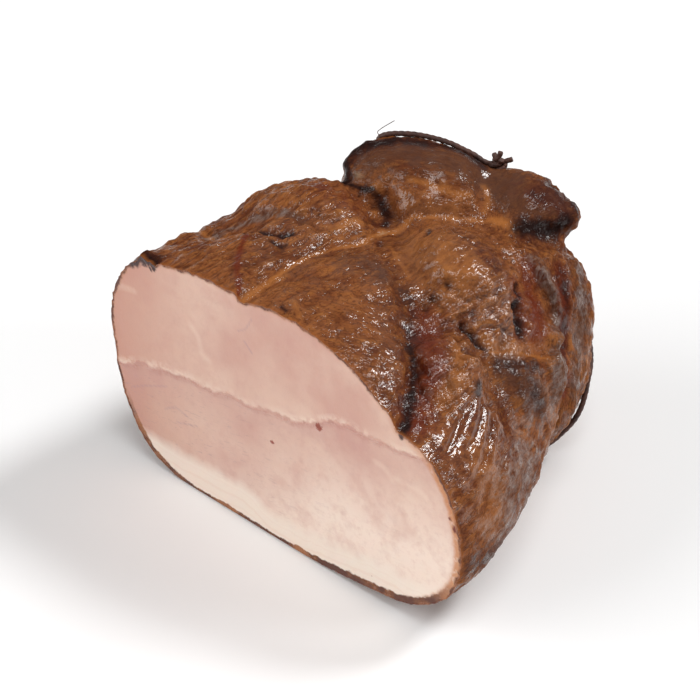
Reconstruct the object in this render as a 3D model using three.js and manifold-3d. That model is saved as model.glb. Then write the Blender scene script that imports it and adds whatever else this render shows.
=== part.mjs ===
// A boneless smoked ham, cut square across, with a length of butcher's twine tied round its rear end.
// Millimetres: X runs along the cut face, Y goes into the meat from the cut, Z is up from the table.
// The meat is laid out from the cut face at Y = 0 and then moved so that the origin is under its middle.
import * as THREE from "three";
import { mergeVertices } from "three/addons/utils/BufferGeometryUtils.js";
import Module from "manifold-3d";

const CUT_TO_ORIGIN = 68; // the cut face stands this far in front of the origin
const MAIN_LENGTH = 140; // the main muscle, from the cut to its blunt rear end
const MAIN_HEIGHT = 50; // its axis above the table at the cut
const MAIN_TAPER = 1.75; // 2 would be an ellipse seen from above, less is more pointed
const OVERRUN = 55; // how far the meat is drawn past the cut before it is sliced off
const REAR_LEAN = 6; // how far the rear end drifts to the left
const REAR_LIFT = 12; // and upwards
const MEAT_BLEND = 2.2; // softness of the furrow where two muscles meet
const HEART = new THREE.Vector3(-3, 70, 42); // a point inside from which nearly all the skin can be seen
const REACH = 150; // farther from the heart than any meat
const SKIN_DETAIL = 24; // the skin starts as an icosahedron with each edge split into one part more

const TWINE_RADIUS = 1.1;
const TWINE_SEAT = 0.25; // height of the twine's centre line above the skin that it presses into
const TWINE_STEPS = 78;
const TWINE_SIDES = 8;
const KNOT_RADIUS = 2;
const KNOT_STRAND = 0.95;
const GAP = 0.3; // clearance left between the twine and the meat

// The cut outline: its distance from the main muscle's axis, every 15 degrees from +X towards +Z.
const RIM = [
  85.5, 81, 71, 60.2, 56.3, 56, 56, 57, 63, 73, 85, 88,
  85.5, 84.5, 82, 72, 59, 53, 51.5, 52, 56, 65, 79, 86.5,
];

// The muscles that swell out of the main one: centre, half sizes, turn in degrees about Z, X and Y,
// and squareness, where 2 is an ellipsoid and more has fuller shoulders.
const MUSCLES = {
  wedge_beside_the_crease: { at: [12, 6, 62], half: [46, 44, 44], turn: [-15, 0, 10], squareness: 2.2 },
  strip_beyond_the_crease: { at: [42, 34, 66], half: [22, 26, 30], turn: [0, 0, 20], squareness: 2 },
  right_flank: { at: [44, 24, 42], half: [38, 46, 40], turn: [14, 0, -12], squareness: 2.1 },
  left_shoulder: { at: [-39, 60, 64], half: [37, 33, 43], turn: [0, 0, 0], squareness: 2.2 },
  rear_crown: { at: [-23, 104, 85], half: [32.5, 21.5, 27.5], turn: [20, 0, 0], squareness: 2.5 },
  crown_apron: { at: [-10, 91, 77], half: [31, 17, 26], turn: [12, 0, 0], squareness: 2.2 },
  rear_tip: { at: [11, 124, 93], half: [22, 14, 12], turn: [20, 0, 6], squareness: 2 },
  middle: { at: [17, 73, 60], half: [36, 32, 45], turn: [0, 0, 0], squareness: 2.1 },
  rear_side: { at: [33, 84, 50], half: [31, 26, 37], turn: [0, 0, 0], squareness: 2.1 },
  rear_flank: { at: [17, 103, 47], half: [36, 32, 52], turn: [0, 0, 0], squareness: 2.3 },
  belly: { at: [-8, 44, 22], half: [68, 52, 28], turn: [0, 0, 0], squareness: 2.6 },
};

// Furrows pressed in by twine, folds and seams between muscles: depth, half width, and the line that each
// follows over the skin. A ridge has a depth below 0.
const FURROWS = {
  front_twine_mark: {
    depth: 4, width: 5,
    line: [[-18, -6, 105], [-18, 22, 104], [-18, 39, 103], [-13, 50, 102], [-9, 64, 101], [-11, 78, 99],
      [-5, 89, 99], [7, 96, 100], [17, 101, 101], [28, 106, 99], [34, 118, 93]],
  },
  girdle: {
    depth: 5, width: 7,
    line: [[-44, 88, 103], [-31, 81, 102], [-22, 80, 100], [-12, 74, 99], [0, 68, 100], [11, 59, 101],
      [20, 54, 101], [29, 50, 98], [38, 50, 92], [47, 53, 88], [56, 51, 83], [65, 46, 78], [71, 49, 68],
      [72, 54, 55]],
  },
  deep_crease: {
    depth: 8, width: 2.8,
    line: [[-2, 58, 102], [9, 53, 102], [18, 47, 100], [25, 42, 98], [35, 30, 96], [45, 21, 93],
      [53, 10, 90], [58, -3, 84]],
  },
  tip_valley: { depth: 4, width: 5, line: [[-3, 118, 109], [4, 109, 107], [11, 104, 103], [18, 100, 101]] },
  crown_foot: {
    depth: 1.6, width: 4,
    line: [[-40, 92, 103], [-29, 90, 105], [-15, 93, 106], [-3, 98, 106], [6, 104, 104]],
  },
  under_the_tip: { depth: 5, width: 5, line: [[22, 103, 100], [31, 109, 95], [33, 118, 88], [34, 127, 84]] },
  side_twine_mark: { depth: 3, width: 4, line: [[50, 54, 87], [55, 66, 80], [57, 80, 74], [60, 92, 68]] },
  rear_valley: {
    depth: 4, width: 6,
    line: [[34, 97, 97], [44, 96, 88], [51, 95, 75], [55, 93, 62], [58, 88, 50], [60, 82, 38], [58, 78, 22]],
  },
  shoulder_fold: {
    depth: 3, width: 4,
    line: [[-62, 20, 96], [-56, 32, 99], [-50, 44, 102], [-38, 51, 104], [-26, 55, 104], [-15, 58, 102]],
  },
  left_ridge: { depth: -1.6, width: 2.5, line: [[-47, 33, 101], [-33, 16, 104], [-19, -3, 105]] },
  strip_edge: {
    depth: 3, width: 4,
    line: [[47, 48, 90], [52, 34, 88], [57, 22, 87], [61, 10, 86], [64, -4, 85]],
  },
  middle_lump: { depth: 2.5, width: 4, line: [[29, 60, 99], [35, 62, 97], [42, 64, 93], [46, 60, 90]] },
};

// The twine, from its knot on the rear crown over the crown's back, down the left, under the belly, up
// the right rear and back to the knot. Both tails stand up out of the knot.
const KNOT = new THREE.Vector3(-4.5, 126.5, 104);
const TWINE_GUIDES = [
  [-2, 125.5, 107.5], [-4.5, 126.5, 104], [-8.5, 123.4, 104.4], [-12.4, 121.6, 106.8], [-17, 120.2, 108.3],
  [-22, 118.7, 109.5], [-28, 116.5, 110.1], [-35, 113.3, 110.3], [-41, 109.7, 109.7], [-45, 107, 108.8],
  [-49, 108, 103], [-51.5, 108.5, 93], [-52, 107, 76], [-52, 103, 58], [-49, 99, 40], [-44, 95.5, 24],
  [-36, 92, 11], [-24, 89.5, 4], [-5, 88.5, 2], [18, 90, 1.5], [32, 92, 2.5], [38, 97, 4], [43, 104, 7],
  [46, 109, 11.5], [48, 113, 16], [49, 115.5, 21], [49, 117.8, 26.5], [48.3, 119.9, 33.1],
  [43.5, 124.5, 38.5], [36, 130, 47], [27, 134, 58], [17, 134, 68], [8, 133, 79], [0, 133, 89],
  [-4, 131.5, 96], [-5.5, 129.5, 100], [-4.5, 126.5, 104], [-8, 128, 106.5],
];
const LOWEST_TWINE = TWINE_RADIUS + GAP; // its centre line stays clear of the table

const MEAT = new THREE.MeshStandardMaterial({ color: 0x6b3a22, roughness: 0.45, metalness: 0 });
const STRING = new THREE.MeshStandardMaterial({ color: 0x3a1d14, roughness: 0.7, metalness: 0 });

const wasm = await Module();
wasm.setup();

// A closed geometry as a solid that can be joined and cut.
function solidOf(geometry) {
  const bare = geometry.clone();
  bare.deleteAttribute("normal");
  bare.deleteAttribute("uv");
  const merged = mergeVertices(bare, 1e-4);
  return new wasm.Manifold(
    new wasm.Mesh({
      numProp: 3,
      vertProperties: merged.attributes.position.array,
      triVerts: new Uint32Array(merged.index.array),
    }),
  );
}

function meshOf(name, solid, material) {
  const { vertProperties, triVerts } = solid.getMesh();
  const geometry = new THREE.BufferGeometry();
  geometry.setAttribute("position", new THREE.BufferAttribute(vertProperties, 3));
  geometry.setIndex(new THREE.BufferAttribute(triVerts, 1));
  geometry.computeVertexNormals();
  const mesh = new THREE.Mesh(geometry, material);
  mesh.name = name;
  return mesh;
}

// The one real body of a solid, without crumbs that a join left where two surfaces almost touch.
function mainBody(solid) {
  return solid.decompose().sort((a, b) => b.volume() - a.volume())[0];
}

// Radius of the cut outline at an angle, on a smooth closed curve through the values of RIM.
function rimRadius(angle) {
  const place = THREE.MathUtils.euclideanModulo(angle / (2 * Math.PI), 1) * RIM.length;
  const first = Math.floor(place);
  const t = place - first;
  const [a, b, c, d] = [-1, 0, 1, 2].map((k) => RIM[(first + k + RIM.length) % RIM.length]);
  return b + 0.5 * t * (c - a + t * (2 * a - 5 * b + 4 * c - d + t * (3 * (b - c) + d - a)));
}

// Distances are below 0 inside. They are close to true ones near the skin and grow coarser away from it.
function mainMuscleDistance(p) {
  const depth = THREE.MathUtils.clamp(p.y, 0, MAIN_LENGTH) / MAIN_LENGTH;
  const x = p.x + REAR_LEAN * depth ** 1.5;
  const z = p.z - MAIN_HEIGHT - REAR_LIFT * depth ** 1.6;
  const radial = Math.hypot(x, z);
  const share = radial / rimRadius(Math.atan2(z, x));
  const size =
    p.y > 0
      ? (share ** MAIN_TAPER + (p.y / MAIN_LENGTH) ** MAIN_TAPER) ** (1 / MAIN_TAPER)
      : Math.hypot(share, p.y / OVERRUN);
  return Math.hypot(radial, p.y) * (1 - 1 / Math.max(size, 1e-3));
}

const muscles = Object.values(MUSCLES).map(({ at, half, turn, squareness }) => {
  const [yaw, pitch, roll] = turn.map(THREE.MathUtils.degToRad);
  const back = new THREE.Quaternion().setFromEuler(new THREE.Euler(pitch, roll, yaw, "ZXY")).invert();
  return { centre: new THREE.Vector3(...at), half, back, squareness };
});

const local = new THREE.Vector3();
function muscleDistance(p, { centre, half, back, squareness }) {
  local.copy(p).sub(centre).applyQuaternion(back);
  const sum =
    Math.abs(local.x / half[0]) ** squareness +
    Math.abs(local.y / half[1]) ** squareness +
    Math.abs(local.z / half[2]) ** squareness;
  return local.length() * (1 - 1 / Math.max(sum ** (1 / squareness), 1e-3));
}

// The muscles under one skin: the smallest distance, with the meeting lines softened.
function smoothDistance(p) {
  const distances = [mainMuscleDistance(p), ...muscles.map((muscle) => muscleDistance(p, muscle))];
  const least = Math.min(...distances);
  const sum = distances.reduce((total, d) => total + Math.exp((least - d) / MEAT_BLEND), 0);
  return least - MEAT_BLEND * Math.log(sum);
}

const furrows = Object.values(FURROWS).map(({ depth, width, line }) => {
  const guides = line.map((p) => new THREE.Vector3(...p));
  const curve = new THREE.CatmullRomCurve3(guides, false, "catmullrom", 0.5);
  const points = curve.getPoints(2 * (line.length - 1));
  const box = new THREE.Box3().setFromPoints(points).expandByScalar(3 * width);
  return { depth, width, points, box };
});

// How deep the furrows are at a point. Each fades out at its two ends.
const nearest = new THREE.Vector3();
const stretch = new THREE.Line3();
function furrowDepth(p) {
  let total = 0;
  for (const { depth, width, points, box } of furrows) {
    if (!box.containsPoint(p)) continue;
    let best = Infinity;
    let along = 0;
    for (let i = 0; i + 1 < points.length; i++) {
      stretch.set(points[i], points[i + 1]);
      const t = stretch.closestPointToPointParameter(p, true);
      const distance = stretch.at(t, nearest).distanceTo(p);
      if (distance >= best) continue;
      best = distance;
      along = (i + t) / (points.length - 1);
    }
    const fade = THREE.MathUtils.clamp(Math.min(along, 1 - along) * 8 + 0.25, 0, 1);
    total += depth * Math.exp(-((best / width) ** 2)) * fade;
  }
  return total;
}

function skinDistance(p) {
  const plain = smoothDistance(p);
  return Math.abs(plain) < 20 ? plain + furrowDepth(p) : plain;
}

// The outermost point of the skin on a ray from the heart.
function onSkin(direction) {
  const step = 2.5;
  const at = (r) => HEART.clone().addScaledVector(direction, r);
  let inside = REACH;
  while (skinDistance(at(inside)) > 0) inside -= step;
  let outside = inside + step;
  for (let i = 0; i < 12; i++) {
    const middle = (inside + outside) / 2;
    if (skinDistance(at(middle)) > 0) outside = middle;
    else inside = middle;
  }
  return at(inside);
}

// The skin all round, then sliced flat at the cut face and flattened where it rests on the table.
function makeMeat() {
  const geometry = new THREE.IcosahedronGeometry(1, SKIN_DETAIL);
  const ball = geometry.attributes.position;
  const known = new Map();
  const direction = new THREE.Vector3();
  for (let i = 0; i < ball.count; i++) {
    direction.fromBufferAttribute(ball, i).normalize();
    const key = direction.toArray().map((v) => v.toFixed(4)).join();
    if (!known.has(key)) known.set(key, onSkin(direction));
    ball.setXYZ(i, ...known.get(key).toArray());
  }
  const kept = new THREE.BoxGeometry(2 * REACH, 2 * REACH, 2 * REACH).translate(0, REACH, REACH);
  return solidOf(geometry).intersect(solidOf(kept));
}

// The way out of the meat at a point near its skin.
function outward(p) {
  const h = 0.5;
  const slope = (x, y, z) => skinDistance(p.clone().add(new THREE.Vector3(x, y, z)));
  return new THREE.Vector3(
    slope(h, 0, 0) - slope(-h, 0, 0),
    slope(0, h, 0) - slope(0, -h, 0),
    slope(0, 0, h) - slope(0, 0, -h),
  ).normalize();
}

// The twine's centre line: the guides' curve, lifted out of the meat where it would sink into it.
function twineLine() {
  const guides = TWINE_GUIDES.map((p) => new THREE.Vector3(...p));
  const points = new THREE.CatmullRomCurve3(guides, false, "centripetal").getSpacedPoints(TWINE_STEPS);
  for (const p of points) {
    for (let i = 0; i < 4; i++) {
      const sunk = TWINE_SEAT - skinDistance(p);
      if (sunk > 0) p.addScaledVector(outward(p), sunk);
    }
    p.z = Math.max(p.z, LOWEST_TWINE);
  }
  return new THREE.CatmullRomCurve3(points, false, "centripetal");
}

function tube(line, radius, steps, sides) {
  const section = new THREE.Shape(
    Array.from({ length: sides }, (_, i) => {
      const angle = (2 * Math.PI * i) / sides;
      return new THREE.Vector2(radius * Math.cos(angle), radius * Math.sin(angle));
    }),
  );
  return solidOf(new THREE.ExtrudeGeometry(section, { steps, bevelEnabled: false, extrudePath: line }));
}

// The knot: a small tangle on the twine where its two ends cross.
function knot(radius, strand) {
  const tangle = new THREE.TorusKnotGeometry(radius, strand, 28, 6, 2, 3);
  const core = new THREE.IcosahedronGeometry(radius, 1);
  return [tangle, core].map((geometry) => solidOf(geometry.translate(...KNOT.toArray())));
}

// The twine grown by a margin all round, with the strands of its knot.
function tiedTwine(line, margin) {
  const length = tube(line, TWINE_RADIUS + margin, TWINE_STEPS, TWINE_SIDES);
  return knot(KNOT_RADIUS + margin, KNOT_STRAND + margin).reduce((all, piece) => all.add(piece), length);
}

const route = twineLine();
const twine = mainBody(tiedTwine(route, 0));
const ham = mainBody(makeMeat().subtract(tiedTwine(route, GAP)));

const layout = new THREE.Group();
layout.position.y = -CUT_TO_ORIGIN;
layout.add(meshOf("ham", ham, MEAT));
layout.add(meshOf("twine", twine, STRING));
const part = new THREE.Group();
part.add(layout);

export default part;
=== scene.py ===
import math

import bmesh
import bpy
import numpy as np
from mathutils import Matrix, Vector, noise
from mathutils.kdtree import KDTree


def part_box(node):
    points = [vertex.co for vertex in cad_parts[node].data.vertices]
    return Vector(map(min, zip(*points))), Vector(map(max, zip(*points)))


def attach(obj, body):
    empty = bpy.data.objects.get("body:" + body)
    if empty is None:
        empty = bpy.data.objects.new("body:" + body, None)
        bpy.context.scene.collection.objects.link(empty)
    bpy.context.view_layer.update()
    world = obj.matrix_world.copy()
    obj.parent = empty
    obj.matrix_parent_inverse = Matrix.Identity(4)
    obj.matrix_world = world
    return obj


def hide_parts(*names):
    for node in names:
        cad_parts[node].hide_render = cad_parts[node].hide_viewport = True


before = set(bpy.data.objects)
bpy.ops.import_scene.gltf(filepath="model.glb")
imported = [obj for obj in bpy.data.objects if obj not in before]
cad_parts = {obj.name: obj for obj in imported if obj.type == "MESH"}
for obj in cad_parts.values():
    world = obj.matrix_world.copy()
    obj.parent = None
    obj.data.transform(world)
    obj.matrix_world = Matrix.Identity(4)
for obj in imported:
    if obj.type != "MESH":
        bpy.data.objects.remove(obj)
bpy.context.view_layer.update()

# The studio: a pale table in a white room, lit by four soft suns. They stand overhead, behind on the
# right for the sheen on the flank, at the right side, and in front of the cut. The camera looks down on
# the ham from its front right.
MM = 0.001
CUT_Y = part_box("ham")[0].y  # the plane of the cut
AIM = Vector((-6.4 * MM, CUT_Y + 45 * MM, 61.2 * MM))  # what the camera looks at
CAMERA_AZIMUTH = math.radians(42)
CAMERA_ELEVATION = math.radians(38)
CAMERA_DISTANCE = 1.1
LENS = 152.7
SENSOR_WIDTH = 36
FARTHEST_SEEN = 20
ROOM_LIGHT = 0.2
TABLE_HALF_WIDTH = 3
TABLE_DROP = 0.3 * MM  # leaves room for the shadow under the lowest skin
WHITE = (1, 1, 1, 1)
TABLE_PAINT = (0.97, 0.97, 0.97, 1)


def direction(azimuth, elevation):
    """The way from the ham to something round it: azimuth 0 is in front of the cut, 90 degrees is +X."""
    flat = math.cos(elevation)
    return Vector((math.sin(azimuth) * flat, -math.cos(azimuth) * flat, math.sin(elevation)))


def look_at(item, place, target):
    item.location = place
    item.rotation_euler = (target - place).to_track_quat("-Z", "Y").to_euler()
    bpy.context.collection.objects.link(item)


def finished(bm, name):
    """Makes an object from a bmesh that is done."""
    mesh = bpy.data.meshes.new(name)
    bm.to_mesh(mesh)
    bm.free()
    piece = bpy.data.objects.new(name, mesh)
    bpy.context.collection.objects.link(piece)
    return piece


def new_material(name):
    material = bpy.data.materials.new(name)
    material.use_nodes = True
    tree = material.node_tree
    return material, tree, tree.nodes["Principled BSDF"]


def fill(tree, node, values):
    """Gives each input of a node its value, or links the other node's socket to it."""
    for key, value in values.items():
        if isinstance(value, bpy.types.NodeSocket):
            tree.links.new(value, node.inputs[key])
        else:
            node.inputs[key].default_value = value


camera = bpy.data.objects.new("camera", bpy.data.cameras.new("camera"))
camera.data.lens = LENS
camera.data.sensor_width = SENSOR_WIDTH
camera.data.clip_end = FARTHEST_SEEN
look_at(camera, AIM + CAMERA_DISTANCE * direction(CAMERA_AZIMUTH, CAMERA_ELEVATION), AIM)
bpy.context.scene.camera = camera
bpy.context.scene.view_settings.view_transform = "Standard"

# name, azimuth and elevation, how wide it looks in the sky, all in degrees, and strength
LAMPS = [
    ("overhead", 60, 72, 24, 0.8),
    ("behind", 152, 50, 16, 1.6),
    ("side", 120, 30, 14, 0.55),
    ("front", -38, 24, 50, 1.72),
]
for name, azimuth, elevation, width, strength in LAMPS:
    lamp = bpy.data.lights.new(name, "SUN")
    lamp.angle = math.radians(width)
    lamp.energy = strength
    way = direction(math.radians(azimuth), math.radians(elevation))
    look_at(bpy.data.objects.new(name, lamp), AIM + way, AIM)

world = bpy.data.worlds.new("room")
world.use_nodes = True
tree = world.node_tree
fill(tree, tree.nodes["Background"], {"Color": WHITE, "Strength": ROOM_LIGHT})
bpy.context.scene.world = world

bm = bmesh.new()
bmesh.ops.create_grid(
    bm, x_segments=1, y_segments=1, size=TABLE_HALF_WIDTH, matrix=Matrix.Translation((0, 0, -TABLE_DROP)))
table = finished(bm, "table")
paint, tree, shader = new_material("pale_table")
fill(tree, shader, {"Base Color": TABLE_PAINT, "Roughness": 0.6})
table.data.materials.append(paint)

# The meat: one boneless joint, drawn together by its net and twine, smoked, and sliced across. Every
# muscle under its skin is a swelling, and folds and twine marks are furrows pressed into the skin.
# Millimetres from here on, with Y measured from the cut.
MAIN_LENGTH = 140
MAIN_HEIGHT = 50
MAIN_TAPER = 1.75
OVERRUN = 14  # the meat is drawn this far past the cut and then flattened onto it
REAR_LEAN = 6
LEAN_CURVE = 1.5
REAR_LIFT = 12
LIFT_CURVE = 1.6
MEAT_BLEND = 2.2
FIBRE_BLEND = 4
HEART = np.array([-3, 70, 42.0])
REACH = 150  # the mesh starts this far from the heart and comes in by short steps
STEP_IN = 2.5
LONGEST_STEP = 3
FIRST_CUTS = 30
FINER_CUTS = 3
CUT_CLEARANCE = 0.25  # what is nearer to the cut than this is moved onto it
ON_PLANE = 1e-4
NOT_ZERO = 1e-3
LEAST_SLOPE = 0.3

# The cut outline: its distance from the main muscle's axis, every 15 degrees from +X towards +Z.
RIM = np.array([
    85.5, 81, 71, 60.2, 56.3, 56, 56, 57, 63, 73, 85, 88,
    85.5, 84.5, 82, 72, 59, 53, 51.5, 52, 56, 65, 79, 86.5,
])

# the ways that fibres run, as x, y and z
FIBRE_WAYS = {
    "lengthways": (0.1, 1, 0.1),
    "across": (0.85, 0.5, 0),
    "flank": (-0.1, 1, 0.75),
    "upright": (0.1, 0.15, 1),
}
# the length, width and height of the folds that lie along each of these ways
FOLDS = {
    "lengthways": (19, 4.4, 2.0),
    "across": (7, 4.0, 1.6),
    "flank": (30, 4.2, 2.0),
    "upright": (34, 4.4, 2.2),
}
# centre, half sizes, turn in degrees about Z, X and Y, squareness, and the way the fibres run
MUSCLES = {
    "wedge_beside_the_crease": ((12, 6, 62), (46, 44, 44), (-15, 0, 10), 2.2, "across"),
    "strip_beyond_the_crease": ((42, 34, 66), (22, 26, 30), (0, 0, 20), 2.0, "lengthways"),
    "right_flank": ((44, 24, 42), (38, 46, 40), (14, 0, -12), 2.1, "flank"),
    "left_shoulder": ((-39, 60, 64), (37, 33, 43), (0, 0, 0), 2.2, "lengthways"),
    "rear_crown": ((-23, 104, 85), (32.5, 21.5, 27.5), (20, 0, 0), 2.5, "across"),
    "crown_apron": ((-10, 91, 77), (31, 17, 26), (12, 0, 0), 2.2, "upright"),
    "rear_tip": ((11, 124, 93), (22, 14, 12), (20, 0, 6), 2.0, "lengthways"),
    "middle": ((17, 73, 60), (36, 32, 45), (0, 0, 0), 2.1, "lengthways"),
    "rear_side": ((33, 84, 50), (31, 26, 37), (0, 0, 0), 2.1, "upright"),
    "rear_flank": ((17, 103, 47), (36, 32, 52), (0, 0, 0), 2.3, "upright"),
    "belly": ((-8, 44, 22), (68, 52, 28), (0, 0, 0), 2.6, "lengthways"),
}

# depth, half width and line of each furrow; a ridge has a depth below 0
FURROWS = {
    "front_twine_mark": (4, 5, [
        (-18, -6, 105), (-18, 22, 104), (-18, 39, 103), (-13, 50, 102), (-9, 64, 101), (-11, 78, 99),
        (-5, 89, 99), (7, 96, 100), (17, 101, 101), (28, 106, 99), (34, 118, 93)]),
    "girdle": (5, 7, [
        (-44, 88, 103), (-31, 81, 102), (-22, 80, 100), (-12, 74, 99), (0, 68, 100), (11, 59, 101),
        (20, 54, 101), (29, 50, 98), (38, 50, 92), (47, 53, 88), (56, 51, 83), (65, 46, 78),
        (71, 49, 68), (72, 54, 55)]),
    "deep_crease": (8, 2.8, [
        (-2, 58, 102), (9, 53, 102), (18, 47, 100), (25, 42, 98), (35, 30, 96), (45, 21, 93),
        (53, 10, 90), (58, -3, 84)]),
    "tip_valley": (4, 5, [(-3, 118, 109), (4, 109, 107), (11, 104, 103), (18, 100, 101)]),
    "crown_foot": (1.6, 4, [(-40, 92, 103), (-29, 90, 105), (-15, 93, 106), (-3, 98, 106), (6, 104, 104)]),
    "under_the_tip": (5, 5, [(22, 103, 100), (31, 109, 95), (33, 118, 88), (34, 127, 84)]),
    "side_twine_mark": (3, 4, [(50, 54, 87), (55, 66, 80), (57, 80, 74), (60, 92, 68)]),
    "rear_valley": (4, 6, [
        (34, 97, 97), (44, 96, 88), (51, 95, 75), (55, 93, 62), (58, 88, 50), (60, 82, 38), (58, 78, 22)]),
    "shoulder_fold": (3, 4, [
        (-62, 20, 96), (-56, 32, 99), (-50, 44, 102), (-38, 51, 104), (-26, 55, 104), (-15, 58, 102)]),
    "left_ridge": (-1.6, 2.5, [(-47, 33, 101), (-33, 16, 104), (-19, -3, 105)]),
    "strip_edge": (3, 4, [(47, 48, 90), (52, 34, 88), (57, 22, 87), (61, 10, 86), (64, -4, 85)]),
    "middle_lump": (2.5, 4, [(29, 60, 99), (35, 62, 97), (42, 64, 93), (46, 60, 90)]),
}
# the finer wrinkles and pits that only the finished skin has
WRINKLES = {
    "fan_groove_1": (1.2, 1.3, [(63, 35, 84), (66, 24, 82), (70, 13, 79), (72, 7, 78)]),
    "fan_groove_2": (1.3, 1.4, [(64, 37, 83), (68, 32, 79), (72, 23, 76), (75, 15, 75)]),
    "fan_groove_3": (1.1, 1.3, [(62, 32, 86), (61, 24, 85), (60, 18, 84), (63, 12, 83)]),
    "fan_groove_4": (1.3, 1.5, [(63, 41, 78), (70, 35, 76), (75, 28, 72), (79, 17, 69)]),
    "fan_groove_5": (1.3, 1.5, [(68, 44, 70), (76, 36, 66), (81, 27, 60), (85, 15, 54)]),
    "dome_twist": (-1.4, 1.8, [(0, 9, 107), (5, 5, 108), (10, 0, 107)]),
    "dome_dip": (1.2, 1.8, [(-3, 6, 107), (2, 1, 107), (7, -1, 106)]),
    "shoulder_wrinkle": (1.8, 1.8, [(-47, 33, 102), (-46, 36, 102), (-39, 38, 103), (-32, 42, 103)]),
    "shoulder_pocket": (1.4, 3.0, [(-36, 34, 103), (-30, 36, 103)]),
    "crease_notch": (3.2, 1.7, [(55, 7, 84), (58, 1, 82), (59, -4, 81)]),
    "twine_notch": (1.6, 1.6, [(-18, 4, 105), (-18, 0, 105), (-18, -4, 105)]),
    "corner_knob": (-3.2, 2.8, [(-71, -5, 96), (-69, 0, 97), (-68, 5, 98)]),
    "corner_notch": (2.6, 1.3, [(-63, -5, 99), (-62, 0, 99), (-60, 7, 100)]),
    "left_pimple": (-1.2, 1.5, [(-88, 0, 43), (-87, 3, 43)]),
    "left_spike": (-1.3, 1.3, [(-85, 0, 30), (-84, 3, 30)]),
    "left_dip": (1.2, 2.2, [(-87, -3, 47), (-87, 4, 47)]),
    "bottom_curl": (-1.0, 4.0, [(20, -2, 1), (26, -2, 1)]),
    "shoulder_lip": (-2.2, 4.5, [
        (-46, 79, 101), (-39, 80, 102), (-31, 81, 102), (-26, 80, 101), (-22, 78, 99)]),
    "crown_gap": (2.6, 2.0, [
        (-48, 87, 98), (-40, 88, 99), (-32, 88, 100), (-26, 87, 99), (-21, 85, 97), (-16, 81, 95)]),
    "crown_corner": (-2.2, 5.0, [(-49, 91, 98), (-50, 96, 104), (-48, 102, 108)]),
    "tip_beak": (-1.4, 2.2, [(28, 131, 98), (31, 131, 97), (33, 130, 96)]),
    "tip_slope": (4.2, 7.0, [(15, 137, 105), (22, 138, 102), (28, 137, 99)]),
    "flank_rib_1": (-1.6, 2.6, [(60, 58, 74), (66, 56, 62), (70, 56, 48), (70, 58, 34)]),
    "flank_rib_2": (-1.3, 2.4, [(63, 66, 70), (67, 68, 58), (68, 70, 44)]),
    "flank_dip": (1.6, 2.6, [(61, 62, 74), (66, 62, 60), (68, 64, 44)]),
    "beak_under": (1.5, 3.2, [(24, 111, 93), (29, 119, 91), (32, 126, 91)]),
    "below_tip": (-2.6, 3.5, [(27, 118, 86), (30, 121, 86), (32, 124, 85)]),
    "right_band": (-2.4, 2.4, [(35, 100, 93), (42, 100, 85), (48, 98, 76), (56, 89, 72), (62, 80, 66)]),
    "middle_slit": (1.8, 1.2, [(13, 79, 104), (16, 85, 103), (15, 93, 100)]),
    "middle_crack": (2.6, 1.2, [(37, 56, 90), (39, 55, 88), (42, 56, 87), (44, 55, 85), (48, 56, 83)]),
    "lump_slit": (3.0, 1.7, [(44, 79, 90), (48, 76, 87), (50, 75, 84), (51, 73, 81)]),
    "lump_ring": (1.6, 2.2, [(42, 67, 93), (43, 74, 92), (46, 78, 89), (50, 70, 84), (47, 66, 87)]),
    "pit_1": (1.8, 1.4, [(1, 77, 101), (2, 79, 101)]),
    "pit_2": (2.0, 1.5, [(26, 60, 100), (28, 60, 99)]),
    "pit_3": (1.6, 1.4, [(24, 55, 96), (26, 54, 95)]),
    "pit_4": (1.6, 1.4, [(24, 52, 95), (26, 50, 94)]),
    "pit_5": (2.0, 1.7, [(40, 85, 93), (43, 82, 91)]),
    "star_pit": (2.0, 1.6, [(-10, 65, 97), (-8, 65, 97)]),
}
# tan marks of the net on the sides that the photo doesn't show, drawn near the skin and laid onto it
NET_MARK_DEPTH = 1.8
NET_MARK_HALF_WIDTH = 3.5
NET_STAIN_HALF_WIDTH = 1.7
NET_STAIN = 0.8
NET_MARKS = [
    [(-52, 88, 98), (-64, 82, 84), (-72, 78, 62), (-70, 78, 38), (-60, 80, 14)],
    [(-60, 28, 98), (-78, 32, 84), (-87, 34, 58), (-83, 36, 32), (-72, 40, 8)],
    [(-84, 4, 70), (-84, 34, 66), (-76, 66, 62), (-66, 90, 60), (-50, 112, 56), (-28, 128, 52),
     (0, 136, 50)],
    [(-40, 122, 84), (-38, 124, 60), (-32, 122, 34), (-26, 114, 10)],
    [(24, 130, 78), (30, 132, 56), (34, 126, 34), (34, 114, 10)],
]


def curve_between(a, b, c, d, t):
    """A place from b (t is 0) to c (t is 1), on a smooth curve that comes from a and goes on to d."""
    return b + 0.5 * t * (c - a + t * (2 * a - 5 * b + 4 * c - d + t * (3 * (b - c) + d - a)))


def rim_radius(angle):
    """Radius of the cut outline at an angle, on a smooth closed curve through the values of RIM."""
    place = (angle / (2 * math.pi) % 1) * len(RIM)
    first = np.floor(place).astype(int)
    return curve_between(*(RIM[(first + k) % len(RIM)] for k in (-1, 0, 1, 2)), place - first)


def main_muscle_distance(p):
    depth = np.clip(p[:, 1], 0, MAIN_LENGTH) / MAIN_LENGTH
    x = p[:, 0] + REAR_LEAN * depth**LEAN_CURVE
    z = p[:, 2] - MAIN_HEIGHT - REAR_LIFT * depth**LIFT_CURVE
    radial = np.hypot(x, z)
    share = radial / rim_radius(np.arctan2(z, x))
    behind = (share**MAIN_TAPER + (np.abs(p[:, 1]) / MAIN_LENGTH) ** MAIN_TAPER) ** (1 / MAIN_TAPER)
    ahead = np.hypot(share, p[:, 1] / OVERRUN)
    size = np.maximum(np.where(p[:, 1] > 0, behind, ahead), NOT_ZERO)
    return np.hypot(radial, p[:, 1]) * (1 - 1 / size)


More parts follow.
